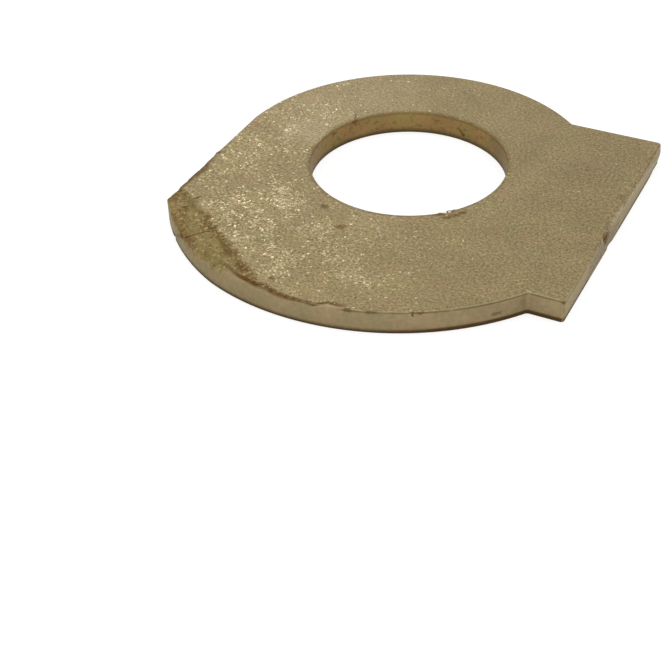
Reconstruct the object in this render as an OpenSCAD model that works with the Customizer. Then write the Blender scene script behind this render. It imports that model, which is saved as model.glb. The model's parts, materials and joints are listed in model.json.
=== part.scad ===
// Tab-type lock washer, blanked from one piece of steel strip.
// The round side follows the hole, and the wide lobe on the near side is the part that is bent up
// against the flat of the nut. The square tab and the straight edge opposite it keep it from turning.
// It lies flat. The origin is the centre of the hole on the underside, +Z points out of the face
// that the nut bears on, and +X points to the end of the tab. All sizes are in millimetres.

/* [Hole] */
// Diameter of the hole, a clearance fit on a 5/8 in (15.9 mm) thread
hole_d = 16.3; // [14:0.1:17]

/* [Plate] */
// Thickness of the strip
plate_t = 2; // [1.6:0.1:3]
// Radius of the round side, from the centre of the hole
round_r = 15.3; // [15.2:0.05:16]
// Distance from the hole's centre to the straight edge opposite the tab
straight_x = 15.25; // [14.5:0.05:15.25]

/* [Lobe] */
// Radius of the wide lobe
lobe_r = 19.35; // [18:0.05:20]
// How far the lobe's centre lies from the hole's centre, towards the straight edge
lobe_shift_x = 0.3; // [0:0.1:1]
// How far the lobe's centre lies from the hole's centre, towards the lobe
lobe_shift_y = 1.6; // [1:0.1:2.5]
// Radius of the flatter arc that trims the lobe where it meets the straight edge
trim_r = 19.98; // [19.9:0.01:20.1]
// How far the trimming arc's centre lies from the hole's centre, towards the tab
trim_shift_x = 0.8; // [0.7:0.05:0.9]
// How far the trimming arc's centre lies from the hole's centre, towards the lobe
trim_shift_y = 1.4; // [1.3:0.05:1.5]

/* [Tab] */
// Distance from the hole's centre to the end of the tab
tab_x = 18.1; // [17:0.1:20]
// Distance from the hole's centre to the tab's side next to the lobe
tab_near_y = 13.05; // [11:0.05:14]
// Distance from the hole's centre to the tab's side next to the round side
tab_far_y = 11.35; // [9:0.05:13]
// How much is missing from each outer corner of the tab
tab_corner = 0.3; // [0.1:0.1:1]

/* [Edges] */
// Radius of the drawn-in edge on the upper face, as the punch leaves it
upper_ease = 0.12; // [0.05:0.01:0.3]
// Width of the small bevel along the bottom of the outer wall
lower_bevel = 0.12; // [0.02:0.01:0.2]
// Radius in the two inner corners beside the tab
inner_corner_r = 0.4; // [0.3:0.1:1]

/* [Strip edge] */
// Distance from the hole's centre to the line where the strip's own edge starts to round down
roll_start = 19.6; // [19.4:0.1:20.2]
// Direction of the strip's edge, seen from the hole
roll_direction = 237; // [235:0.5:239]
// Radius of the strip's edge
roll_r = 1.6; // [1.5:0.1:4]
// Angle at which the strip's edge leaves the flat face
roll_entry = 5; // [3:1:8]

/* [Hidden] */
$fn = 96;

hole_r = hole_d / 2;
// Flats that stand for the quarter round of the upper edges
ease_steps = 3;
// Longer than any stretch of the plate
span = 60;
// How far a cutter runs past the metal that it cuts
past = 1;
// How deep the round of an inner corner bites into the walls it joins, so that they cross cleanly
bite = 0.01;
// Nicks in the outline: place along X and Y, and radius
nicks = [
    [tab_x + 0.12, -3.8, 0.28],
    [-13.46, -15.52, 0.25],
    [-straight_x - 0.25, -8, 0.35]
];
hole_middle = [0, 0];
lobe_middle = [-lobe_shift_x, -lobe_shift_y];
trim_middle = [trim_shift_x, -trim_shift_y];
// Inner corners: middle and radius of the round wall, and the Y of the tab's side
inner_corners = [
    [hole_middle, round_r, tab_far_y],
    [lobe_middle, lobe_r, -tab_near_y]
];
steel = [0.59, 0.53, 0.41];

// Half section of the plate, from a place inside it to its edge
function section(inner, reach) = concat(
    [[inner, 0], [reach - lower_bevel, 0], [reach, lower_bevel]],
    upper_edge(reach),
    [[inner, plate_t]]
);

// Rounded upper edge, from the wall to the face
function upper_edge(reach) = [
    for (step = [0:ease_steps])
        let (a = 90 * step / ease_steps)
        [reach - upper_ease * (1 - cos(a)), plate_t - upper_ease * (1 - sin(a))]
];

// Distance from the hole's centre to a broken corner of the tab, along the diagonal
function corner_reach(side) = (tab_x + side - tab_corner) / sqrt(2);

// Centre of the round between a round wall and the side of the tab at a given Y
function inner_corner(middle, r, side) =
    let (y = side + sign(side) * inner_corner_r)
    [middle[0] + sqrt(pow(r + inner_corner_r, 2) - pow(y - middle[1], 2)), y];

// Plate with a round edge
module round_plate(r) {
    rotate_extrude()
        polygon(section(0, r));
}

// Plate with one straight edge, at a distance from the hole's centre in a given direction
module straight_plate(direction, reach) {
    rotate([0, 0, direction])
        rotate([90, 0, 0])
            linear_extrude(height = span, center = true)
                polygon(section(-span / 2, reach));
}

// Round side and lobe, cut off along the straight edge
module body() {
    intersection() {
        union() {
            round_plate(round_r);
            lobe();
        }
        straight_plate(180, straight_x);
    }
}

// Wide lobe, trimmed towards the straight edge, which ends inside the tab
module lobe() {
    intersection() {
        translate(lobe_middle)
            round_plate(lobe_r);
        translate(trim_middle)
            round_plate(trim_r);
        translate([-span / 2, -span / 2, -past])
            cube([span / 2 + tab_x - past, span / 2, plate_t + 2 * past]);
    }
}

// Square tab with its outer corners broken, from the middle of the plate to its end
module tab() {
    intersection() {
        straight_plate(0, tab_x);
        straight_plate(90, tab_far_y);
        straight_plate(-90, tab_near_y);
        straight_plate(45, corner_reach(tab_far_y));
        straight_plate(-45, corner_reach(tab_near_y));
        translate([0, -span / 2, -past])
            cube([span, span, plate_t + 2 * past]);
    }
}

// Metal that fills an inner corner, from the centre of its round into both walls
module corner_fill(middle, r, side) {
    centre = inner_corner(middle, r, side);
    outward = (centre - middle) / norm(centre - middle);
    in_wall = middle + outward * (r - past);
    in_tab = [centre[0], side - sign(side) * past];
    linear_extrude(height = plate_t)
        polygon([centre, in_wall, in_tab]);
}

// Round cutter that leaves a wall with an eased upper edge
module round_cut(r) {
    rotate_extrude()
        polygon(concat(
            [[0, -past], [r, -past]],
            [for (p = upper_edge(-r)) [-p[0], p[1]]],
            [[r + upper_ease, plate_t + past], [0, plate_t + past]]
        ));
}

// Cutter that leaves the rounded edge of the strip along the trimmed end of the lobe
module rolled_edge() {
    rotate([0, 0, roll_direction])
        translate([roll_start, 0, 0])
            difference() {
                translate([0, -span / 2, 0])
                    cube([span, span, plate_t + past]);
                translate([-roll_r * sin(roll_entry), 0, plate_t - roll_r * cos(roll_entry)])
                    rotate([90, 0, 0])
                        cylinder(r = roll_r, h = span + past, center = true);
            }
}

module lock_washer() {
    color(steel)
    difference() {
        union() {
            body();
            tab();
            for (corner = inner_corners)
                corner_fill(corner[0], corner[1], corner[2]);
        }
        round_cut(hole_r);
        for (corner = inner_corners)
            translate(inner_corner(corner[0], corner[1], corner[2]))
                round_cut(inner_corner_r + bite);
        rolled_edge();
        for (nick = nicks)
            translate([nick[0], nick[1], -past])
                cylinder(r = nick[2], h = plate_t + 2 * past);
    }
}

lock_washer();
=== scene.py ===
"""A tab-type lock washer, blanked from steel strip, lying flat on a white table under soft studio light."""
import json
import math

import bmesh
import bpy
from mathutils import Matrix, Vector, noise


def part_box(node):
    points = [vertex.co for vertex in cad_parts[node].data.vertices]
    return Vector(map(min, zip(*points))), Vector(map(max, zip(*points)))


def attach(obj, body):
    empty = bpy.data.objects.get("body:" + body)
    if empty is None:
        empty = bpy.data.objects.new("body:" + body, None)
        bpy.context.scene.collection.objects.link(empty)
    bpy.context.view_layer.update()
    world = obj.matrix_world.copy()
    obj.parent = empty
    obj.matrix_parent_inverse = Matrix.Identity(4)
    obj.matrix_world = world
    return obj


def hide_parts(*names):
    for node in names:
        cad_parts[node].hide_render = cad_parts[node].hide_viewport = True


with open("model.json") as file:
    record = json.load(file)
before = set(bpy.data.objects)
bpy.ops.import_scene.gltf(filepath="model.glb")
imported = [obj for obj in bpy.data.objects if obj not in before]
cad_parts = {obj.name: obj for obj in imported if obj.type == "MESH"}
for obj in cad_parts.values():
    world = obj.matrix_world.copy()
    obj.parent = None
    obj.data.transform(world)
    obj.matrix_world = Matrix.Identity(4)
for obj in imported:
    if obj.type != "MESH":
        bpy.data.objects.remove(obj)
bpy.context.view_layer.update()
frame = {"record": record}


# The blank
# The washer is one flat piece of 2 mm steel strip, cut in one blow by a punch. The punch draws the upper
# edge in a little and leaves smooth walls. One corner came from the strip's own rough, rounded edge.
# The frame gives the hole and how far each side reaches, and most other sizes repeat the part's source.
MM = 0.001
low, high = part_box("lock_washer")
hole_mount = next(m for m in frame["record"]["mounts"] if m["name"] == "bore")
hole_r = hole_mount["dims"]["r_mm"] * MM
thick = high.z
round_r = high.y
straight_x = low.x
tab_x = high.x
tab_near = -13.05 * MM
tab_far = 11.35 * MM
tab_corner = 0.3 * MM
lobe_r = 19.35 * MM
lobe_middle = Vector((-0.3 * MM, low.y + lobe_r, 0))
inner_corner = 0.4 * MM
upper_ease = 0.12 * MM
lower_round = 0.12 * MM

# The flatter arc that trims the lobe towards the straight edge, and where it leaves the lobe
trim_r = 19.98 * MM
trim_middle = Vector((0.8 * MM, -1.4 * MM, 0))
trim_end = Vector((-7.74 * MM, -19.46 * MM, 0))

# The strip's rough edge: where its surface starts, and where and how it rounds down
strip_way = Vector((math.cos(math.radians(234.4)), math.sin(math.radians(234.4)), 0))
strip_along = Vector((-strip_way.y, strip_way.x, 0))
strip_start = 17.9 * MM
roll_way = Vector((math.cos(math.radians(237)), math.sin(math.radians(237)), 0))
roll_start = 19.6 * MM
roll_r = 1.6 * MM


def on_arc(middle, r, x):
    """The point of an arc at a given X, on its near side."""
    return Vector((x, middle.y - math.sqrt(r ** 2 - (x - middle.x) ** 2), 0))


def round_the_hole(degrees):
    """The point of the hole's edge in a direction."""
    way = math.radians(degrees)
    return Vector((math.cos(way), math.sin(way), 0)) * hole_r


# Nicks: place on a wall, and in millimetres the height of the middle, half width, half height and depth. A
# depth below zero is a burr or a swelling, which stands proud of the wall.
tab_nick = Vector((tab_x, -3.8 * MM, 0))
foot_nick = Vector((tab_x, -2.2 * MM, 0))
swelling = Vector((tab_x, 10.4 * MM, 0))
lobe_nick = on_arc(trim_middle, trim_r, -13.4 * MM)
nicks = [
    (tab_nick, 1.9, 0.32, 0.55, 0.30),
    (foot_nick, 0.0, 0.45, 0.7, 0.14),
    (lobe_nick, 0.1, 0.2, 0.4, 0.22),
    (on_arc(lobe_middle, lobe_r, 8.65 * MM), 1.9, 0.16, 0.3, 0.10),
    (round_the_hole(148.6), 2.0, 0.22, 0.35, 0.16),
    (round_the_hole(165.8), 1.7, 0.2, 0.3, 0.08),
    (round_the_hole(-48.6), 1.95, 0.18, 0.3, -0.09),
    (round_the_hole(-43.3), 1.95, 0.24, 0.35, -0.15),
    (round_the_hole(-40.0), 1.95, 0.16, 0.3, -0.1),
    (swelling, 1.25, 1.0, 0.5, -0.12),
    (swelling, 0.1, 1.2, 0.5, 0.1),
    (Vector((straight_x, -5.4 * MM, 0)), 2.0, 0.25, 0.5, -0.10),
    (Vector((straight_x, -8.0 * MM, 0)), 1.8, 0.5, 0.5, 0.14),
    (Vector((straight_x, -10.4 * MM, 0)), 2.0, 0.2, 0.4, 0.08),
    (Vector((straight_x, -11.7 * MM, 0)), 2.0, 0.2, 0.4, 0.08),
]

# Length of the mesh's steps along the outline: fine beside the deeper nicks and in the small rounds
FINE = 0.07 * MM
COARSE = 0.15 * MM
# How far the fine steps reach on either side of a nick
BESIDE_NICK = 0.6 * MM


def beside_tab(middle, r, side):
    """Centre of the small round in the corner between a round wall and the tab's side."""
    y = side + math.copysign(inner_corner, side)
    return Vector((middle.x + math.sqrt((r + inner_corner) ** 2 - (y - middle.y) ** 2), y, 0))


def turn(start, end):
    """The angle from one direction to another, the short way round."""
    angle = math.atan2(end.y, end.x) - math.atan2(start.y, start.x)
    return (angle + math.pi) % (2 * math.pi) - math.pi


def draw(mesh, start, end, middle, spacing):
    """Draws a line, or an arc round a middle, from a vertex to a point, in steps no longer than the spacing.
    Gives the last vertex and the number of steps."""
    if middle is None:
        steps = math.ceil((end - start.co).length / spacing)
        way = {"angle": 0, "dvec": (end - start.co) / steps}
    else:
        angle = turn(start.co - middle, end - middle)
        steps = max(4, math.ceil(abs(angle) * (end - middle).length / spacing))
        way = {"angle": angle, "cent": middle}
    made = bmesh.ops.spin(mesh, geom=[start], axis=(0, 0, 1), steps=steps, use_duplicate=False, **way)
    last = next(v for v in made["geom_last"] if isinstance(v, bmesh.types.BMVert))
    return last, steps


centre = Vector((0, 0, 0))
near_round = beside_tab(lobe_middle, lobe_r, tab_near)
far_round = beside_tab(centre, round_r, tab_far)
near_corner = Vector((tab_x - tab_corner, tab_near + tab_corner, 0))
far_corner = Vector((tab_x - tab_corner, tab_far - tab_corner, 0))
top_left = Vector((straight_x, math.sqrt(round_r ** 2 - straight_x ** 2), 0))

# Each stretch of the outline, anticlockwise from the top of the straight edge: its end, the middle of its
# arc, and the length of its steps
outline = [
    (on_arc(trim_middle, trim_r, straight_x), None, COARSE),
    (on_arc(trim_middle, trim_r, lobe_nick.x - BESIDE_NICK), trim_middle, COARSE),
    (on_arc(trim_middle, trim_r, lobe_nick.x + BESIDE_NICK), trim_middle, FINE),
    (trim_end, trim_middle, COARSE),
    (near_round + (lobe_middle - near_round).normalized() * inner_corner, lobe_middle, COARSE),
    (Vector((near_round.x, tab_near, 0)), near_round, FINE),
    (Vector((near_corner.x, tab_near, 0)), None, COARSE),
    (Vector((tab_x, near_corner.y, 0)), near_corner, FINE),
    (tab_nick - Vector((0, BESIDE_NICK, 0)), None, COARSE),
    (foot_nick + Vector((0, BESIDE_NICK, 0)), None, FINE),
    (Vector((tab_x, far_corner.y, 0)), None, COARSE),
    (Vector((far_corner.x, tab_far, 0)), far_corner, FINE),
    (Vector((far_round.x, tab_far, 0)), None, COARSE),
    (far_round + (centre - far_round).normalized() * inner_corner, far_round, FINE),
    (top_left, centre, COARSE),
]

# The outline and the hole are drawn side by side with the same number of steps, then bridged into a ring
blank = bmesh.new()
outer = first_outer = blank.verts.new(top_left)
inner = first_inner = blank.verts.new(top_left.normalized() * hole_r)
for end, middle, spacing in outline:
    start_way = outer.co.copy()
    outer, steps = draw(blank, outer, end, middle, spacing)
    made = bmesh.ops.spin(
        blank, geom=[inner], cent=centre, axis=(0, 0, 1), angle=turn(start_way, end), steps=steps,
        use_duplicate=False,
    )
    inner = next(v for v in made["geom_last"] if isinstance(v, bmesh.types.BMVert))
bmesh.ops.weld_verts(blank, targetmap={outer: first_outer, inner: first_inner})
bmesh.ops.bridge_loops(blank, edges=blank.edges[:])
made = bmesh.ops.extrude_face_region(blank, geom=blank.faces[:])
upper = [v for v in made["geom"] if isinstance(v, bmesh.types.BMVert)]
bmesh.ops.translate(blank, verts=upper, vec=(0, 0, thick))
bmesh.ops.recalc_face_normals(blank, faces=blank.faces[:])


def level(edge, z):
    """True where both ends of an edge lie at a height, within a ten-thousandth of a millimetre."""
    return all(abs(v.co.z - z) < 0.0001 * MM for v in edge.verts)


def is_rim(edge):
    """True on an edge between a wall and a face."""
    return abs(edge.link_faces[0].normal.z - edge.link_faces[1].normal.z) > 0.5


# The upper edges are drawn in round, and the lower ones are rounded a little too
for z, size, segments in [(thick, upper_ease, 3), (0, lower_round, 2)]:
    bmesh.ops.bevel(
        blank, geom=[e for e in blank.edges if level(e, z) and is_rim(e)], offset=size, segments=segments,
        profile=0.5, affect="EDGES", material=-1, clamp_overlap=False,
    )

# Rows are added across the upper face and down the walls, closest near the outline, to carry the relief
BAND = 3.2 * MM
BAND_ROWS = 20
ROWS_INSIDE = 20
ROWS_DOWN = 9
# Limits that part the edges across the face from the short ones along the outline and the hole
SHORTEST_SPOKE = 4 * MM
LONGEST_SPOKE = 40 * MM


def spokes(low_end, high_end):
    """The edges across the upper face whose lengths lie between two limits."""
    return [e for e in blank.edges if level(e, thick) and low_end < e.calc_length() < high_end]


def band_share(edge):
    """Where an edge across the face meets the band along the outline, from its first end."""
    share = BAND / edge.calc_length()
    return share if edge.verts[0].co.length > edge.verts[1].co.length else 1 - share


# Each spoke is cut where the band ends, and then the band and the rest get their own rows
across = spokes(SHORTEST_SPOKE, LONGEST_SPOKE)
shares = {e: band_share(e) for e in across}
bmesh.ops.subdivide_edges(blank, edges=across, cuts=1, edge_percents=shares)
bmesh.ops.subdivide_edges(blank, edges=spokes(0.9 * BAND, 1.1 * BAND), cuts=BAND_ROWS)
bmesh.ops.subdivide_edges(blank, edges=spokes(1.1 * BAND, LONGEST_SPOKE), cuts=ROWS_INSIDE)
down = [e for e in blank.edges if abs(e.verts[0].co.z - e.verts[1].co.z) > thick / 2]
bmesh.ops.subdivide_edges(blank, edges=down, cuts=ROWS_DOWN)


def smooth(x, start, end):
    """A soft step from 0 at start to 1 at end."""
    t = min(1.0, max(0.0, (x - start) / (end - start)))
    return t * t * (3 - 2 * t)


def follow(points, x):
    """The height at x of a line drawn through points from left to right."""
    for (x0, y0), (x1, y1) in zip(points, points[1:]):
        if x <= x1:
            return y0 + (y1 - y0) * min(1.0, max(0.0, (x - x0) / (x1 - x0)))
    return points[-1][1]


def inside(point):
    """How far a point of the plate lies inside the outline. The lobe's arc isn't cut off at the tab's end
    here, so the end wall from Y -7.6 mm to 0 counts as inside, and gets the finish of the face."""
    if point.y < 0:
        body = min(lobe_r - (point - lobe_middle).length, trim_r - (point - trim_middle).length)
    else:
        body = round_r - point.length
    tab = min(tab_x - point.x, tab_far - point.y, point.y - tab_near, point.x)
    return min(max(body, tab), point.x - straight_x)


def rolled(point):
    """Height lost where the strip's edge rounds down."""
    over = min(point.dot(roll_way) - roll_start, roll_r)
    return roll_r - math.sqrt(roll_r ** 2 - over ** 2) if over > 0 else 0.0


# How deep the wear and the relief of the face are
END_WEAR = 0.12 * MM
ROUGH_DROP = 0.05 * MM
COARSE_LUMP = 0.04 * MM
FINE_LUMP = 0.03 * MM
FACE_WAVE = 0.012 * MM
CRACK_STEP = 0.12 * MM


def bumps(point, size):
    """Soft bumps of a size in millimetres, from -1 to 1."""
    return noise.noise(point / (size * MM))


def worn_end(point):
    """Height lost where the upper edge of the tab's end is rubbed round."""
    along = smooth(point.y / MM, -3.6, -2.8) * smooth(point.y / MM, 9.6, 8.4)
    near_end = smooth((tab_x - point.x) / MM, 0.4, 0.0)
    return END_WEAR * along * near_end * smooth(point.z / MM, 1.4, 1.9)


def over_end(point):
    """How far the face's finish comes down over the tab's end, above a slanting line."""
    along = smooth(point.y / MM, -3.6, -2.8)
    near_end = smooth((tab_x - point.x) / MM, 0.5, 0.2)
    line = 1.83 - 0.09 * point.y / MM
    return along * near_end * smooth(point.z / MM, line, line + 0.15)


# Upper edge of the rough strip, in mm along the strip and towards its edge
strip_edge = [
    (-6.0, 0.2), (-5.1, 0.15), (-3.4, -0.15), (-1.6, 0.05), (-0.7, -0.2), (0.4, 0.05), (1.0, -0.15),
    (1.2, 0.2), (2.7, -0.15), (4.0, -0.05), (4.9, 0.0), (5.6, 0.25), (6.6, 0.15), (8.0, 0.05), (9.2, 0.45),
]
# The crack that runs along the lobe's edge, in mm: X, and how far it lies inside the edge
crack_line = [
    (-8.5, 0.7), (-6.95, 0.48), (-6.05, 0.65), (-5.04, 0.44), (-3.83, 0.36), (-2.3, 0.4), (-1.64, 0.23),
    (-0.9, 0.1), (0.0, 0.02), (1.2, 0.03), (1.75, -0.08), (2.2, 0.1), (2.75, 0.45), (3.6, 0.34), (5.5, 0.2),
    (8.0, 0.1),
]

# What the finish needs to know at each vertex: how far it lies past the upper edge of the rough strip, how
# far inside the crack, and how far inside the corner of face and wall, all in mm, and how much of it is
# wall. The last two distances go on below zero down the wall. FAR stands for out of reach.
FAR = 9.0
stain = blank.verts.layers.float.new("stain")
crack = blank.verts.layers.float.new("crack")
edge = blank.verts.layers.float.new("edge")
wall = blank.verts.layers.float.new("wall")
blank.normal_update()
for v in blank.verts:
    flat = Vector((v.co.x, v.co.y, 0))
    height = v.co.z / thick
    out = Vector((v.normal.x, v.normal.y, 0))
    from_outline = inside(flat)
    from_edge = min(from_outline, flat.length - hole_r)
    over = flat.dot(strip_way) - strip_start
    upper_side = v.normal.z > -0.5
    on_lobe = v.co.y < 0
    v[stain] = over / MM - follow(strip_edge, flat.dot(strip_along) / MM)
    v[crack] = (from_outline + v.co.z - thick) / MM - follow(crack_line, v.co.x / MM) if on_lobe else FAR
    v[edge] = (from_edge + v.co.z - thick) / MM if upper_side else FAR
    v[wall] = (1 - smooth(from_edge / MM, 0.0, 0.12)) * (1 - over_end(v.co))
    if v.co.z > 0:
        v.co.z -= rolled(flat) * height
        rough = smooth(v[stain], 0, 0.3)
        lump = COARSE_LUMP * bumps(flat, 0.9) + FINE_LUMP * bumps(flat, 0.35)
        v.co.z -= rough * height * (ROUGH_DROP + lump)
        v.co.z -= FACE_WAVE * (0.5 + 0.5 * bumps(flat, 2.5)) * height * (1 - v[wall])
        v.co.z -= worn_end(v.co)
        along = smooth(v.co.x / MM, -7.4, -6.2) * smooth(v.co.x / MM, 0.0, -1.5)
        v.co.z -= CRACK_STEP * smooth(-v[crack], 0.0, 0.35) * along * height
    # A nick pushes the wall in along its normal, and is nothing three half widths away
    if out.length > 0.5:
        for spot, middle, half_width, half_height, depth in nicks:
            beside = (flat - spot).length / (half_width * MM)
            above = (v.co.z / MM - middle) / half_height
            if beside < 3:
                v.co -= out.normalized() * depth * MM * math.exp(-beside ** 2 - above ** 2)

plate_mesh = bpy.data.meshes.new("lock_washer_plate")
blank.to_mesh(plate_mesh)
blank.free()
plate = bpy.data.objects.new("lock_washer_plate", plate_mesh)
bpy.context.scene.collection.objects.link(plate)
plate_mesh.shade_smooth()


# The finish
# Dull zinc plate with a khaki passivate, over rolled and pickled strip. The crystals of the plating are
# small flat facets, each tilted a little, so they glint where the light strikes them right. The strip's
# rough edge has lost its plating and is stained brown, and the cut walls are smoother.
# Pale glints, highlights and a sheen, and dark shade at the foot of the walls, in two nicks and under a
# burr, are painted into the colour as well.
def colour(code):
    """A colour written as sRGB hex, as the linear values that a shader takes."""
    parts = [int(code[i:i + 2], 16) / 255 for i in (1, 3, 5)]
    return [c / 12.92 if c <= 0.04045 else ((c + 0.055) / 1.055) ** 2.4 for c in parts] + [1]


def add(tree, kind, inputs=(), **settings):
    """Adds a node with its settings and links. Inputs go by name or in order, and a node given as an input
    stands for its first output in use."""
    node = tree.nodes.new("ShaderNode" + kind)
    for name, value in settings.items():
        setattr(node, name, value)
    for socket, value in inputs.items() if isinstance(inputs, dict) else enumerate(inputs):
        if isinstance(socket, str):
            socket = next(i for i, s in enumerate(node.inputs) if s.enabled and s.name == socket)
        if isinstance(value, bpy.types.Node):
            value = next(s for s in value.outputs if s.enabled)
        if isinstance(value, bpy.types.NodeSocket):
            tree.links.new(value, node.inputs[socket])
        else:
            node.inputs[socket].default_value = value
    return node


def per_mm(size):
    """Scale of a pattern whose cells are a size in millimetres."""
    return 1 / (size * MM)


# Colours of the plating, of bare and dirty metal, of the stains, and of painted highlights and painted shade
KHAKI = colour("#8f7f5b")
OLIVE = colour("#8b7f58")
PINKISH = colour("#937e5f")
PALE_ZINC = colour("#aa9d7f")
RIM_DARK = colour("#766642")
WALL_TAN = colour("#9a8b68")
WALL_WARM = colour("#9b8967")
END_KHAKI = colour("#a39266")
BORE_BROWN = colour("#9a7b4f")
BORE_OLIVE = colour("#937e4d")
BORE_DARK = colour("#5d5031")
STAIN_TAN = colour("#8b7a4e")
STAIN_BROWN = colour("#836b41")
DEEP_BROWN = colour("#695327")
CRACK_BROWN = colour("#5f431e")
MARK_BROWN = colour("#5d4825")
RUST_BROWN = colour("#664922")
FOOT_BROWN = colour("#4a3218")
BRIGHT_STEEL = colour("#e6dfcb")

finish = bpy.data.materials.new("khaki_passivated_zinc_plate")
finish.use_nodes = True
tree = finish.node_tree
tree.nodes.clear()
# Settings that many of the nodes share
SOFT = {"interpolation_type": "SMOOTHSTEP"}
COLOURS = {"data_type": "RGBA"}
TIMES = {"operation": "MULTIPLY"}
place = add(tree, "TexCoord").outputs["Object"]
axes = add(tree, "SeparateXYZ", [place]).outputs
wall_at = add(tree, "Attribute", attribute_name="wall").outputs["Fac"]
edge_at = add(tree, "Attribute", attribute_name="edge").outputs["Fac"]
stain_at = add(tree, "Attribute", attribute_name="stain").outputs["Fac"]
crack_at = add(tree, "Attribute", attribute_name="crack").outputs["Fac"]

# Every pattern is drawn on slightly uneven ground. The crystals and the grain are about twice as coarse
# as the real ones, so that they show.
wobble = add(tree, "TexNoise", {"Vector": place, "Scale": per_mm(0.25), "Detail": 1.0}).outputs["Color"]
wobble = add(tree, "VectorMath", [wobble, (0.5, 0.5, 0.5)], operation="SUBTRACT")
wobble = add(tree, "VectorMath", {"Vector": wobble, "Scale": 0.3 * MM}, operation="SCALE")
uneven = add(tree, "VectorMath", [place, wobble], operation="ADD")
crystal = add(tree, "TexVoronoi", {"Vector": uneven, "Scale": per_mm(0.15)}).outputs["Color"]
grain = add(tree, "TexNoise", {"Vector": place, "Scale": per_mm(0.2), "Detail": 2.0, "Roughness": 0.6})
fleck = add(tree, "TexNoise", {"Vector": place, "Scale": per_mm(0.4), "Detail": 3.0, "Roughness": 0.6})
cloud = add(tree, "TexNoise", {"Vector": place, "Scale": per_mm(1.3), "Detail": 1.5, "Roughness": 0.5})
patch = add(tree, "TexNoise", {"Vector": place, "Scale": per_mm(3.0), "Detail": 2.0})


def marks(ground, spots):
    """How strongly soft oval marks cover each place. A spot has a middle, half sizes, a turn and a strength,
    which it reaches in its inner third."""
    cover = 0.0
    for middle, reach, turned, strength in spots:
        local = add(tree, "Mapping", {
            "Vector": ground, "Location": [c * MM for c in middle], "Scale": [c * MM for c in reach],
            "Rotation": (0, 0, math.radians(turned)),
        }, vector_type="TEXTURE")
        nearness = add(tree, "TexGradient", [local], gradient_type="SPHERICAL").outputs["Fac"]
        spot = add(tree, "MapRange", [nearness, 0.0, 0.7, 0.0, strength], **SOFT)
        cover = add(tree, "Math", [cover, spot], operation="MAXIMUM")
    return cover


# The face is evenly dull, with faint olive and pinkish clouds
olive = add(tree, "MapRange", [cloud, 0.52, 0.7, 0.0, 0.6], **SOFT)
pinkish = add(tree, "MapRange", [cloud, 0.48, 0.3, 0.0, 0.6], **SOFT)
tone = add(tree, "Mix", {"Factor": olive, "A": KHAKI, "B": OLIVE}, **COLOURS)
tone = add(tree, "Mix", {"Factor": pinkish, "A": tone, "B": PINKISH}, **COLOURS)

# Outside the crack that runs from the stain along the lobe's edge, the face is smooth, as the walls are
crack_end = add(tree, "MapRange", [axes["X"], 4.4 * MM, 3.4 * MM], **SOFT)
past_stain = add(tree, "MapRange", [axes["X"], -6.9 * MM, -5.6 * MM], **SOFT)
outside_crack = add(tree, "MapRange", [crack_at, 0.0, -0.12], **SOFT)
outside_crack = add(tree, "Math", [outside_crack, past_stain], **TIMES)
outside_crack = add(tree, "Math", [outside_crack, crack_end], **TIMES)
smooth_at = add(tree, "Math", [wall_at, outside_crack], operation="MAXIMUM")
on_face = add(tree, "Math", [1.0, smooth_at], operation="SUBTRACT")

# The walls are bare of crystals, and the bore is browner, with painted shade darkening its lower part
warm = add(tree, "MapRange", [patch, 0.45, 0.6], **SOFT)
outer_tone = add(tree, "Mix", {"Factor": warm, "A": WALL_TAN, "B": WALL_WARM}, **COLOURS)
tab_end = add(tree, "MapRange", [axes["X"], tab_x - 0.3 * MM, tab_x - 0.1 * MM], **SOFT)
outer_tone = add(tree, "Mix", {"Factor": tab_end, "A": outer_tone, "B": END_KHAKI}, **COLOURS)
brown = add(tree, "MapRange", [cloud, 0.4, 0.6], **SOFT)
bore_tone = add(tree, "Mix", {"Factor": brown, "A": BORE_OLIVE, "B": BORE_BROWN}, **COLOURS)
speckled = add(tree, "MapRange", [fleck, 0.5, 0.66, 0.0, 0.55], **SOFT)
bore_tone = add(tree, "Mix", {"Factor": speckled, "A": bore_tone, "B": BORE_DARK}, **COLOURS)
# Painted shade over the bore's lower part
low_part = add(tree, "MapRange", [axes["Z"], 0.7 * MM, 0.1 * MM, 0.0, 0.6], **SOFT)
bore_tone = add(tree, "Mix", {"Factor": low_part, "A": bore_tone, "B": BORE_DARK}, **COLOURS)
flat_place = add(tree, "CombineXYZ", [axes["X"], axes["Y"]])
radius = add(tree, "VectorMath", [flat_place], operation="LENGTH")
in_bore = add(tree, "MapRange", [radius, hole_r + 0.16 * MM, hole_r + 0.1 * MM], **SOFT)
wall_tone = add(tree, "Mix", {"Factor": in_bore, "A": outer_tone, "B": bore_tone}, **COLOURS)
tone = add(tree, "Mix", {"Factor": smooth_at, "A": tone, "B": wall_tone}, **COLOURS)

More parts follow.
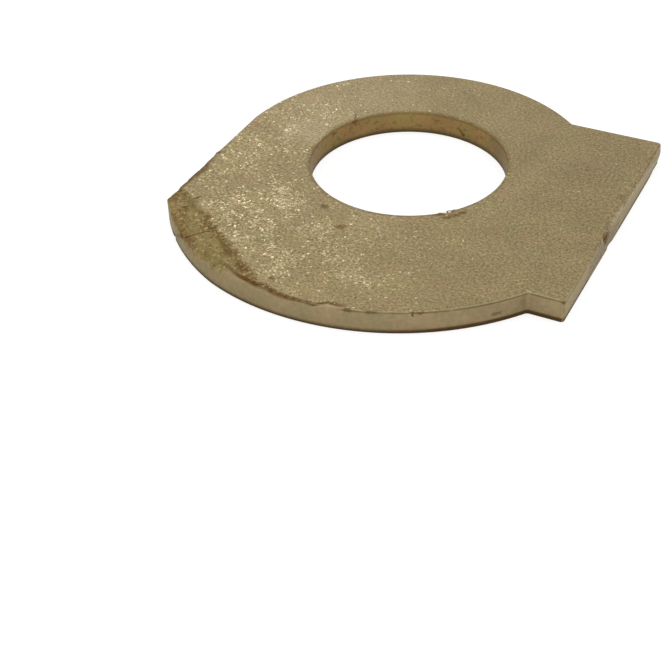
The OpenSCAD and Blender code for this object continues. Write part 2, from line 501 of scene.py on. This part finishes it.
# The strip's rough edge: olive and tan, brownest in blots below its ragged upper boundary. The stain runs a
# little way down the wall. The blots have their places along the strip and away from its edge.
strip_turn = -math.atan2(strip_along.y, strip_along.x)
strip_place = add(tree, "VectorRotate", {"Vector": place, "Angle": strip_turn})
blots = [
    ((0.2, -18.3, 1.9), (1.6, 0.7, 0.8), 0, 0.7),
    ((0.4, -18.9, 1.9), (0.8, 0.5, 0.8), 0, 0.6),
    ((3.8, -18.2, 1.9), (2.0, 0.65, 0.8), 0, 0.65),
    ((4.8, -18.6, 1.9), (1.3, 0.5, 0.8), 0, 0.5),
    ((-2.8, -18.2, 1.9), (1.7, 0.5, 0.8), 0, 0.6),
    ((6.8, -18.3, 1.9), (1.3, 0.45, 0.8), 0, 0.4),
    ((6.5, -19.3, 1.9), (2.0, 0.45, 0.8), 8, 0.5),
    ((8.6, -18.7, 1.9), (1.6, 0.4, 0.8), 20, 0.7),
]
ragged = add(tree, "MapRange", [fleck, 0.3, 0.7, -0.3, 0.3], **SOFT)
ragged = add(tree, "Math", [stain_at, ragged], operation="ADD")
run_down = add(tree, "MapRange", [axes["Z"], 0.7 * MM, 1.7 * MM, 0.0, 0.42], **SOFT)
stainable = add(tree, "Math", [on_face, run_down], operation="MAXIMUM")
bare = add(tree, "Math", [1.0, outside_crack], operation="SUBTRACT")
stainable = add(tree, "Math", [stainable, bare], **TIMES)
stained = add(tree, "MapRange", [ragged, -0.24, 0.16], **SOFT)
stained = add(tree, "Math", [stained, stainable], **TIMES)
browner = add(tree, "MapRange", [cloud, 0.42, 0.6], **SOFT)
stain_tone = add(tree, "Mix", {"Factor": browner, "A": STAIN_TAN, "B": STAIN_BROWN}, **COLOURS)
near_top = add(tree, "MapRange", [ragged, 0.7, 0.2, 0.0, 0.6], **SOFT)
blotched = add(tree, "MapRange", [cloud, 0.4, 0.55, 0.35, 1.0], **SOFT)
deep = add(tree, "Math", [near_top, blotched], **TIMES)
deep = add(tree, "Math", [deep, marks(strip_place, blots)], operation="MAXIMUM")
patchy = add(tree, "MapRange", [fleck, 0.3, 0.6, 0.45, 1.0], **SOFT)
deep = add(tree, "Math", [deep, patchy], **TIMES)
stain_tone = add(tree, "Mix", {"Factor": deep, "A": stain_tone, "B": DEEP_BROWN}, **COLOURS)
winding = add(tree, "TexNoise", {"Vector": uneven, "Scale": per_mm(0.8), "Detail": 1.0})
crevice = add(tree, "Math", [winding, 0.5], operation="SUBTRACT")
crevice = add(tree, "Math", [crevice], operation="ABSOLUTE")
crevice = add(tree, "MapRange", [crevice, 0.035, 0.005, 0.0, 0.75], **SOFT)
gone = add(tree, "MapRange", [cloud, 0.4, 0.52], **SOFT)
crevice = add(tree, "Math", [crevice, gone], **TIMES)
stain_tone = add(tree, "Mix", {"Factor": crevice, "A": stain_tone, "B": MARK_BROWN}, **COLOURS)
# Pale painted highlights on the high points of the rough strip
high_point = add(tree, "MapRange", [grain, 0.58, 0.68, 0.0, 0.7], **SOFT)
flatter = add(tree, "MapRange", [stain_at, 2.2, 1.4], **SOFT)
high_point = add(tree, "Math", [high_point, flatter], **TIMES)
stain_tone = add(tree, "Mix", {"Factor": high_point, "A": stain_tone, "B": PALE_ZINC}, **COLOURS)
tone = add(tree, "Mix", {"Factor": stained, "A": tone, "B": stain_tone}, **COLOURS)

# The crack itself, brown, widest where it leaves the stain and thin further on
CRACK_WIDEST = -1.7 * MM
crack_off = add(tree, "Math", [crack_at], operation="ABSOLUTE")
along_crack = add(tree, "Math", [axes["X"], CRACK_WIDEST], operation="SUBTRACT")
along_crack = add(tree, "Math", [along_crack], operation="ABSOLUTE")
crack_width = add(tree, "MapRange", [along_crack, 1.1 * MM, 2.3 * MM, 0.42, 0.25], **SOFT)
crack_near = add(tree, "MapRange", [crack_off, crack_width, 0.1], **SOFT)
crack_start = add(tree, "MapRange", [axes["X"], -6.8 * MM, -4.2 * MM], **SOFT)
broken = add(tree, "MapRange", [fleck, 0.35, 0.55, 0.6, 1.0], **SOFT)
cracked = add(tree, "Math", [crack_near, crack_start], **TIMES)
cracked = add(tree, "Math", [cracked, crack_end], **TIMES)
cracked = add(tree, "Math", [cracked, broken], **TIMES)
tone = add(tree, "Mix", {"Factor": cracked, "A": tone, "B": CRACK_BROWN}, **COLOURS)

# Each wall meets the face in a dark line just below the corner, which fades out under the stain
below = add(tree, "MapRange", [edge_at, -0.26, -0.16], **SOFT)
above = add(tree, "MapRange", [edge_at, 0.0, -0.08], **SOFT)
unrubbed = add(tree, "MapRange", [cloud, 0.35, 0.5, 0.5, 0.95], **SOFT)
plated = add(tree, "MapRange", [stain_at, 0.8, -0.2], **SOFT)
rim = add(tree, "Math", [below, above], **TIMES)
rim = add(tree, "Math", [rim, unrubbed], **TIMES)
rim = add(tree, "Math", [rim, plated], **TIMES)
rim = add(tree, "Math", [rim, bare], **TIMES)
rim = add(tree, "Math", [rim, wall_at], **TIMES)
rim_tone = add(tree, "Mix", {"Factor": in_bore, "A": RIM_DARK, "B": STAIN_BROWN}, **COLOURS)
tone = add(tree, "Mix", {"Factor": rim, "A": tone, "B": rim_tone}, **COLOURS)

# The corner itself is painted pale on the near side, a painted highlight, and is darker on the far side and
# round the hole
above_corner = add(tree, "MapRange", [edge_at, 0.16, 0.04], **SOFT)
below_corner = add(tree, "MapRange", [edge_at, -0.1, -0.02], **SOFT)
corner = add(tree, "Math", [above_corner, below_corner], **TIMES)
pale_side = add(tree, "MapRange", [axes["X"], -1.0 * MM, 3.0 * MM, 0.0, 0.45], **SOFT)
near_side = add(tree, "MapRange", [axes["Y"], -8.0 * MM, -13.0 * MM], **SOFT)
dull_side = add(tree, "MapRange", [axes["Y"], -6.0 * MM, 2.0 * MM, 0.0, 0.5], **SOFT)
pale_corner = add(tree, "Math", [corner, pale_side], **TIMES)
pale_corner = add(tree, "Math", [pale_corner, near_side], **TIMES)
dull_corner = add(tree, "Math", [corner, dull_side], **TIMES)
tone = add(tree, "Mix", {"Factor": pale_corner, "A": tone, "B": PALE_ZINC}, **COLOURS)
tone = add(tree, "Mix", {"Factor": dull_corner, "A": tone, "B": RIM_DARK}, **COLOURS)
round_hole = add(tree, "MapRange", [radius, hole_r + 0.5 * MM, hole_r + 0.1 * MM, 0.0, 0.7], **SOFT)
round_hole = add(tree, "Math", [round_hole, on_face], **TIMES)
tone = add(tree, "Mix", {"Factor": round_hole, "A": tone, "B": RIM_DARK}, **COLOURS)

# The foot of the wall is painted dark as the shade close above the table, reaching highest towards the tab
foot_line = add(tree, "MapRange", [axes["X"], 5.0 * MM, 13.0 * MM, 0.1 * MM, 0.32 * MM], **SOFT)
foot = add(tree, "MapRange", [axes["Z"], 0.52 * MM, foot_line, 0.0, 0.9], **SOFT)
foot = add(tree, "Math", [foot, wall_at], **TIMES)
foot_tone = add(tree, "Mix", {"Factor": in_bore, "A": FOOT_BROWN, "B": BORE_DARK}, **COLOURS)
tone = add(tree, "Mix", {"Factor": foot, "A": tone, "B": foot_tone}, **COLOURS)

# Pits, cracks and specks of dirt, and painted shade in two nicks: middle and half sizes in mm, turn in
# degrees, strength
dirt = [
    # Cracks in the strip's edge
    ((-10.28, -16.31, 1.9), (1.15, 0.16, 0.6), 51, 0.8),
    ((-11.1, -17.0, 1.85), (0.7, 0.18, 0.5), 20, 0.9),
    ((-11.7, -17.0, 1.6), (0.6, 0.35, 0.2), 144, 0.9),
    ((-12.3, -16.5, 1.2), (0.6, 0.35, 0.2), 144, 0.8),
    ((-12.6, -16.2, 0.95), (0.5, 0.35, 0.2), 140, 0.55),
    # Painted shade in the nick at the foot of the lobe's wall
    ((-13.15, -15.7, 0.4), (0.45, 0.35, 0.45), 140, 1.0),
    # Cracks in the strip's edge
    ((-13.3, -13.6, 1.9), (0.6, 0.16, 0.6), 34, 0.9),
    ((-13.08, -12.09, 1.9), (0.5, 0.16, 0.6), 64, 1.0),
    ((-11.53, -16.1, 1.9), (1.2, 0.12, 0.6), -36, 0.45),
    # Blots in the strip's edge
    ((-10.98, -14.05, 1.9), (0.5, 0.35, 0.6), 0, 0.5),
    ((-9.72, -15.25, 1.9), (0.7, 0.3, 0.6), 54, 0.6),
    ((-7.35, -17.40, 1.9), (1.6, 0.45, 0.6), -36, 0.6),
    ((-5.4, -18.9, 1.9), (1.0, 0.4, 0.6), -36, 0.4),
    # Specks on the face
    ((-3.24, -9.07, 1.9), (0.6, 0.42, 0.6), 0, 0.8),
    ((-0.78, -11.10, 1.9), (0.7, 0.45, 0.6), 20, 0.72),
    ((-2.44, -19.35, 1.9), (0.4, 0.25, 0.6), 0, 0.7),
    ((4.3, -20.4, 1.9), (0.5, 0.2, 0.3), 16, 0.7),
    ((5.95, -19.95, 1.9), (0.6, 0.2, 0.3), 20, 0.7),
    ((13.82, 4.66, 1.9), (0.25, 0.2, 0.6), 0, 0.6),
    ((17.56, 1.98, 1.9), (0.6, 0.25, 0.6), 80, 0.4),
    ((18.00, -13.06, 1.9), (0.2, 0.2, 0.4), 0, 0.8),
    # The line and the nick above the bore, and marks in it
    ((-7.28, 4.92, 1.9), (1.0, 0.13, 0.6), 115, 0.7),
    ((-6.9, 4.25, 1.75), (0.3, 0.3, 0.4), 0, 0.65),
    ((-7.89, 2.03, 1.6), (0.3, 0.5, 0.2), 0, 0.7),
    ((1.15, 8.1, 1.05), (0.3, 0.4, 0.17), -8, 0.55),
    ((1.38, 8.05, 0.88), (0.3, 0.4, 0.2), -9, 0.75),
    ((1.62, 8.0, 0.65), (0.3, 0.4, 0.26), -10, 0.85),
    ((3.6, 7.3, 1.2), (0.5, 0.4, 0.3), -22, 0.35),
    ((6.0, 5.5, 1.2), (2.2, 1.0, 1.4), -48, 0.2),
    ((7.4, 3.4, 1.0), (2.0, 0.8, 1.4), -65, 0.22),
    # The stain and the rim notch of the near wall
    ((13.65, -15.0, 0.85), (0.6, 0.3, 0.25), 48, 0.6),
    ((8.69, -18.7, 1.72), (0.15, 0.3, 0.4), 0, 0.9),
    ((9.2, -18.5, 1.85), (0.7, 0.2, 0.15), 30, 0.7),
    # The ragged straight edge
    ((-15.2, -9.0, 2.0), (6.0, 0.5, 1.0), 90, 0.9),
    ((-14.95, -8.5, 2.0), (1.9, 0.55, 1.0), 88, 0.85),
    ((-15.1, -5.3, 2.0), (0.4, 0.4, 1.0), 0, 0.8),
    ((-15.1, -8.0, 2.0), (0.5, 0.4, 1.0), 90, 0.8),
    ((-15.1, -10.4, 2.0), (0.6, 0.4, 1.0), 90, 0.8),
    ((-15.1, -11.7, 2.0), (0.3, 0.4, 1.0), 0, 0.8),
    # Painted shade inside the dent in the end of the tab
    ((18.05, -3.25, 1.4), (0.6, 0.85, 0.8), 0, 0.95),
]
dirty = marks(uneven, dirt)

# Pale places: rubbed metal, and painted highlights on the tab's rounded end, on the lip of its dent and in a
# glint by the bore
rubbed = [
    # Painted highlight along the rounded upper edge of the tab's end
    ((18.1, 8.0, 1.15), (2.4, 0.5, 0.3), 90, 0.7),
    ((18.1, 5.3, 1.38), (2.8, 0.5, 0.3), 90, 0.75),
    ((18.1, 2.4, 1.64), (2.8, 0.5, 0.3), 90, 0.8),
    ((18.1, -0.5, 1.88), (2.8, 0.35, 0.3), 90, 0.8),
    # A bright chip at the tab's near inner corner
    ((15.36, -12.96, 2.0), (0.3, 0.2, 0.3), 30, 0.9),
    # A painted glint beside the nick above the bore
    ((-7.88, 5.41, 2.0), (0.2, 0.15, 0.3), 0, 0.9),
    # A painted highlight on the upper lip of the tab's dent
    ((17.9, -3.2, 2.0), (0.25, 0.2, 0.3), 0, 0.9),
    # Pale specks on the rough strip
    ((-11.51, -14.92, 2.0), (0.3, 0.15, 0.5), 30, 0.6),
    ((-10.28, -17.63, 2.0), (0.4, 0.2, 0.5), 30, 0.6),
    ((-9.61, -18.14, 2.0), (0.3, 0.15, 0.5), 30, 0.6),
    ((-9.69, -16.08, 2.0), (0.35, 0.2, 0.5), 30, 0.5),
    ((-8.45, -15.74, 2.0), (0.35, 0.2, 0.5), 30, 0.6),
    ((-7.41, -16.02, 2.0), (0.9, 0.4, 0.5), 30, 0.4),
    ((-12.27, -12.65, 2.0), (0.8, 0.4, 0.5), 60, 0.4),
]

# Drifts of clean crystals lie in bands along the rolled strip, and their glinting crystals are painted pale,
# a painted highlight. Each has its place along the strip and away from its edge, its size, its turn, and the
# share of its crystals that glint.
drifts = [
    ((3.0, -11.4, 2.0), (17.0, 2.6, 9.0), 0, 0.28),
    ((1.0, -11.5, 2.0), (4.5, 2.2, 9.0), 0, 0.42),
    ((11.0, -11.6, 2.0), (4.0, 2.0, 9.0), 0, 0.34),
    ((2.0, -15.6, 2.0), (14.0, 2.8, 9.0), 0, 0.26),
    ((2.0, -14.6, 2.0), (3.5, 1.4, 9.0), 0, 0.38),
    ((-5.5, -15, 2.0), (3.0, 1.6, 9.0), 0, 0.2),
    ((8.5, -16.4, 2.0), (3.5, 1.8, 9.0), 0, 0.32),
    ((-8.5, -8, 2.0), (5.0, 4.0, 9.0), 0, 0.18),
    ((-11.5, -1, 2.0), (5.0, 8.0, 9.0), 0, 0.14),
    ((12.0, -5.5, 2.0), (5.0, 4.5, 9.0), 0, 0.10),
    ((6.5, -7.5, 2.0), (4.0, 3.0, 9.0), 0, 0.14),
]
few = add(tree, "MapRange", [axes["X"], 10.0 * MM, -2.0 * MM, 0.02, 0.1], **SOFT)
share = add(tree, "Math", [few, marks(strip_place, drifts)], operation="MAXIMUM")
gathered = add(tree, "MapRange", [cloud, 0.35, 0.62, 0.35, 1.5], **SOFT)
share = add(tree, "Math", [share, gathered], **TIMES)
widely = add(tree, "MapRange", [patch, 0.38, 0.62, 0.65, 1.4], **SOFT)
share = add(tree, "Math", [share, widely], **TIMES)
unstained = add(tree, "MapRange", [ragged, 0.1, -0.1, 0.1, 1.0], **SOFT)
share = add(tree, "Math", [share, unstained], **TIMES)
share = add(tree, "Math", [share, on_face], **TIMES)
clean = add(tree, "Math", [1.0, dirty], operation="SUBTRACT")
share = add(tree, "Math", [share, clean], **TIMES)
nearer = add(tree, "MapRange", [axes["Y"], 11.0 * MM, 1.0 * MM, 0.3, 1.0], **SOFT)
share = add(tree, "Math", [share, nearer], **TIMES)
# Each crystal has a random blue, which picks those that glint, and a random red, which gives its shade
pick = add(tree, "SeparateColor", [crystal]).outputs
glint = add(tree, "MapRange", [pick["Blue"], share, 0.0])
# Crystals that glint are painted pale too, a painted highlight on top of the lamp's real glint
tone = add(tree, "Mix", {"Factor": glint, "A": tone, "B": PALE_ZINC}, **COLOURS)

# A smooth pale painted sheen on the ring at the left
bloom = marks(strip_place, [
    ((-11.5, 1, 2.0), (6.0, 10.0, 9.0), 0, 0.18),
    ((-8.7, -4.7, 2.0), (3.4, 3.2, 9.0), 0, 0.36),
])
bloom = add(tree, "Math", [bloom, on_face], **TIMES)
tone = add(tree, "Mix", {"Factor": bloom, "A": tone, "B": PALE_ZINC}, **COLOURS)

# Dirt and painted shade, and rubbing and painted highlights, lie over the crystals
tone = add(tree, "Mix", {"Factor": dirty, "A": tone, "B": MARK_BROWN}, **COLOURS)
tone = add(tree, "Mix", {"Factor": marks(uneven, rubbed), "A": tone, "B": PALE_ZINC}, **COLOURS)

# The torn place on the hole's near edge is painted reddish brown, as rust and as the burr's shadow, and the
# burr gets painted pale glints
torn = marks(uneven, [
    ((5.6, -6.3, 1.9), (0.8, 0.28, 0.6), 45, 0.85),
    ((6.2, -6.55, 1.9), (0.6, 0.4, 0.6), 38, 0.75),
    ((6.6, -6.0, 1.9), (0.9, 0.4, 0.6), 40, 0.7),
    ((7.0, -5.45, 1.9), (0.6, 0.35, 0.6), 45, 0.85),
])
tone = add(tree, "Mix", {"Factor": torn, "A": tone, "B": RUST_BROWN}, **COLOURS)
burr = marks(place, [
    ((5.76, -5.95, 2.0), (0.24, 0.16, 0.4), 40, 0.9),
    ((6.05, -5.72, 2.0), (0.16, 0.14, 0.4), 40, 0.85),
])
tone = add(tree, "Mix", {"Factor": burr, "A": tone, "B": BRIGHT_STEEL}, **COLOURS)

# Each crystal leans a little its own way, and those that glint lean least
tilt = add(tree, "Mix", {"Factor": glint, "A": 0.25, "B": 0.17})
tilt = add(tree, "Math", [tilt, on_face], **TIMES)
lean = add(tree, "VectorMath", [crystal, (0.5, 0.5, 0.5)], operation="SUBTRACT")
tilted = add(tree, "VectorMath", {"Vector": lean, "Scale": tilt}, operation="SCALE")
outward = add(tree, "NewGeometry").outputs["Normal"]
facet = add(tree, "VectorMath", [outward, tilted], operation="ADD")
facet = add(tree, "VectorMath", [facet], operation="NORMALIZE")
pitted = add(tree, "Bump", {"Height": grain, "Distance": 0.02 * MM, "Normal": facet})
roughness = add(tree, "MapRange", [ragged, -0.05, 0.1, 0.38, 0.5], **SOFT)
roughness = add(tree, "Mix", {"Factor": glint, "A": roughness, "B": 0.14})

# Each crystal and each grain is a shade of its own, most of all in the drifts. The stained strip is uneven
# in larger flecks, and the walls are only faintly clouded.
contrast = add(tree, "MapRange", [share, 0.0, 0.3, 0.16, 0.36])
contrast = add(tree, "Mix", {"Factor": stained, "A": contrast, "B": 0.06})
shade = add(tree, "MapRange", [pick["Red"], 0.0, 1.0, -1.0, 1.0])
shade = add(tree, "Math", [shade, contrast, 1.0], operation="MULTIPLY_ADD")
grain_reach = add(tree, "Mix", {"Factor": stained, "A": 0.4, "B": 0.16})
spread = add(tree, "MapRange", [grain, 0.3, 0.7, -1.0, 1.0])
spread = add(tree, "Math", [spread, grain_reach, 1.0], operation="MULTIPLY_ADD")
value = add(tree, "Math", [shade, spread], **TIMES)
faint = add(tree, "MapRange", [fleck, 0.3, 0.7, 0.89, 1.11])
value = add(tree, "Mix", {"Factor": on_face, "A": faint, "B": value})
mottled = add(tree, "MapRange", [fleck, 0.35, 0.65, 0.84, 1.16])
mottled = add(tree, "Mix", {"Factor": stained, "A": 1.0, "B": mottled})
value = add(tree, "Math", [value, mottled], **TIMES)
clouded = add(tree, "MapRange", [patch, 0.3, 0.7, 0.92, 1.08])
value = add(tree, "Math", [value, clouded], **TIMES)
tone = add(tree, "VectorMath", {"Vector": tone, "Scale": value}, operation="SCALE")

# Seen at a grazing angle, the metal mirrors the white room almost without its own colour
surface = add(tree, "BsdfPrincipled", {
    "Base Color": tone, "Metallic": 1.0, "Roughness": roughness, "Normal": pitted,
    "Specular Tint": colour("#f4f1ec"),
})
add(tree, "OutputMaterial", {"Surface": surface})
plate_mesh.materials.append(finish)

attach(plate, "root")
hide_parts("lock_washer")


# The table
# A plain white sheet, lit so evenly that it shows as white right up to the plate. Only the shade close
# under the edge stays. It isn't part of the washer.
TABLE_REACH = 1.0
# The sheet lies a hair below the plate, so that their faces don't coincide
UNDER_PLATE = 0.01 * MM
table_mesh = bpy.data.meshes.new("table")
sheet = bmesh.new()
bmesh.ops.create_grid(sheet, x_segments=1, y_segments=1, size=TABLE_REACH)
bmesh.ops.translate(sheet, verts=sheet.verts[:], vec=(0, 0, -UNDER_PLATE))
sheet.to_mesh(table_mesh)
sheet.free()
table = bpy.data.objects.new("table", table_mesh)
bpy.context.scene.collection.objects.link(table)
paper = bpy.data.materials.new("white_paper")
paper.use_nodes = True
tree = paper.node_tree
tree.nodes.clear()
ray = add(tree, "LightPath").outputs
matt = add(tree, "BsdfDiffuse", {"Color": colour("#f0f0f0")})

# The metal mirrors a faint glow on the sheet, and the camera sees a strong one
mirrored = add(tree, "Math", [ray["Is Glossy Ray"], ray["Is Transmission Ray"]], operation="MAXIMUM")
faint_glow = add(tree, "Emission", {"Strength": 0.12})
reflected = add(tree, "AddShader", [matt, faint_glow])
sheet_look = add(tree, "MixShader", [mirrored, matt, reflected])
grey_matt = add(tree, "BsdfDiffuse", {"Color": colour("#a0a0a0")})
strong_glow = add(tree, "Emission", {"Strength": 0.77})
seen = add(tree, "AddShader", [grey_matt, strong_glow])
sheet_look = add(tree, "MixShader", [ray["Is Camera Ray"], sheet_look, seen])
add(tree, "OutputMaterial", {"Surface": sheet_look})
table_mesh.materials.append(paper)


# The studio
# White walls all round give even light, and one small lamp behind the plate on the left makes the
# crystals on that side glint.
world = bpy.data.worlds.new("white_studio")
bpy.context.scene.world = world
world.use_nodes = True
tree = world.node_tree
tree.nodes.clear()
white = add(tree, "Background", {"Color": colour("#ffffff"), "Strength": 1.0})
add(tree, "OutputWorld", {"Surface": white})


def lamp(name, place, aim, size, power):
    """A square soft lamp that faces a point."""
    light = bpy.data.lights.new(name, "AREA")
    light.shape = "SQUARE"
    light.size = size
    light.energy = power
    holder = bpy.data.objects.new(name, light)
    holder.location = place
    holder.rotation_euler = (Vector(aim) - Vector(place)).to_track_quat("-Z", "Y").to_euler()
    bpy.context.scene.collection.objects.link(holder)


lamp("glint_lamp", place=(-0.425, 0.654, 0.45), aim=(0, 0, 0), size=0.15, power=0.2)


# The camera
# A camera on a stand close by, from above and to the right of the lobe, as the photograph was taken. The
# picture's width and the focal length are in pixels.
PICTURE = 665
FOCAL_LENGTH = 1376.9

# The way the camera is turned round the plate, raised above it and tipped sideways
turned = math.radians(27.70)
raised = math.radians(38.12)
tipped = math.radians(-1.757)

# How far off the hole's middle is, and how far it lies right of and above the middle of the view
distance = 114.07 * MM
hole_right = 6.315 * MM
hole_up = 14.226 * MM
outwards = Vector((math.sin(turned), -math.cos(turned), 0))
back = outwards * math.cos(raised) + Vector((0, 0, math.sin(raised)))
level_right = back.cross(Vector((0, 0, -1))).normalized()
level_up = back.cross(level_right)
right = math.cos(tipped) * level_right + math.sin(tipped) * level_up
up = -math.sin(tipped) * level_right + math.cos(tipped) * level_up
lens = bpy.data.cameras.new("camera")
lens.sensor_width = 36
lens.lens = lens.sensor_width * FOCAL_LENGTH / PICTURE
lens.clip_start = 0.01
lens.clip_end = 10
camera = bpy.data.objects.new("camera", lens)
stand = Vector((0, 0, thick)) - right * hole_right - up * hole_up + back * distance
facing = Matrix((right, up, back)).transposed().to_4x4()
camera.matrix_world = Matrix.Translation(stand) @ facing
bpy.context.scene.collection.objects.link(camera)
bpy.context.scene.camera = camera
bpy.context.scene.view_settings.view_transform = "Standard"
